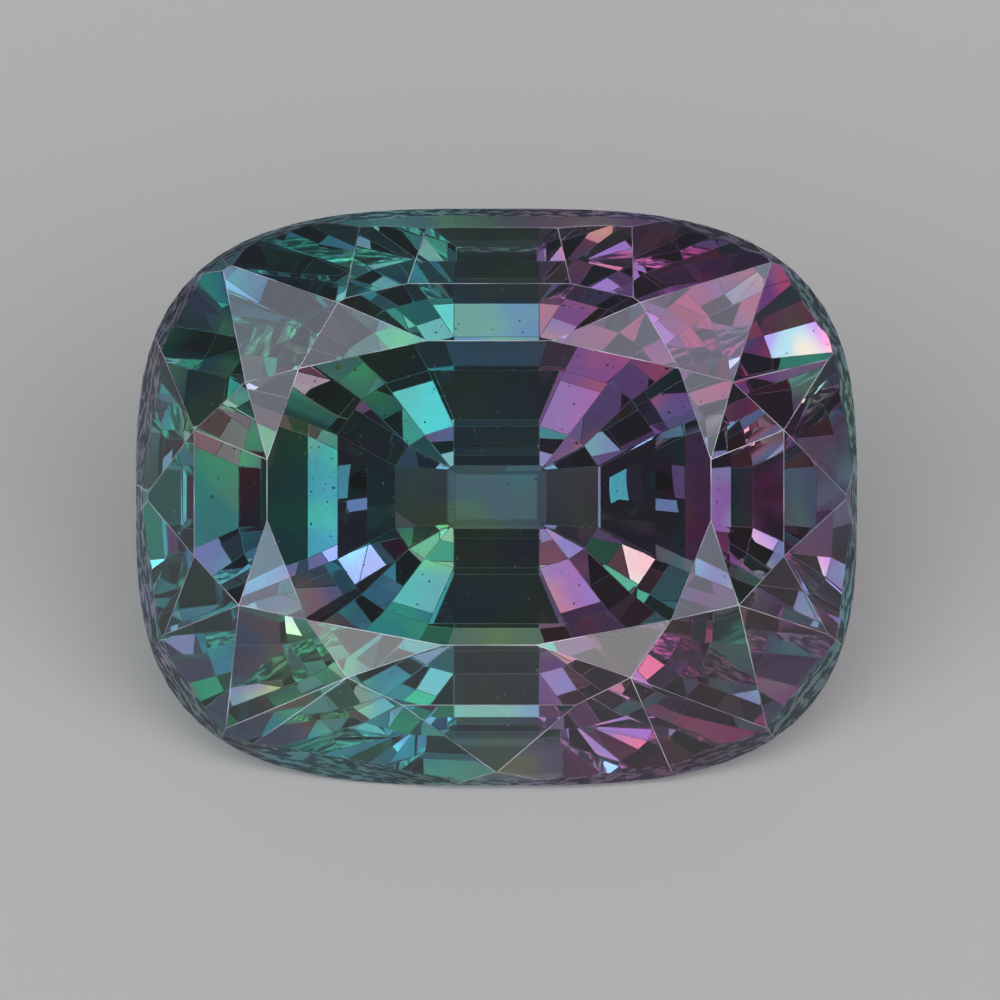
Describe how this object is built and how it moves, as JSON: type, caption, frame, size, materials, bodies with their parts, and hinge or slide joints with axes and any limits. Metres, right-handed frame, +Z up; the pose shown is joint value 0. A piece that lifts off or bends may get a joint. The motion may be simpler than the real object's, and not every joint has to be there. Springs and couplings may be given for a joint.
{
  "type": "cushion-cut alexandrite gemstone",
  "caption": "Faceted clear gemstone with a cushion outline, a flat table, a frosted girdle and a stepped pavilion, lying on its side; blue-green at one end and purple at the other.",
  "frame": {"origin": "on the ground, below the middle of the box round the lying stone", "axes": "+Z up, +X along the stone's length towards its purple end, +Y away from the side that the table faces; the table faces towards -Y and up, 54.0 degrees from upright"},
  "size_m": [0.016, 0.0102, 0.0106],
  "materials": {
    "alexandrite": "polished facets with a fine-ground girdle"
  },
  "bodies": {
    "root": {"alexandrite": "alexandrite"}
  },
  "joints": []
}
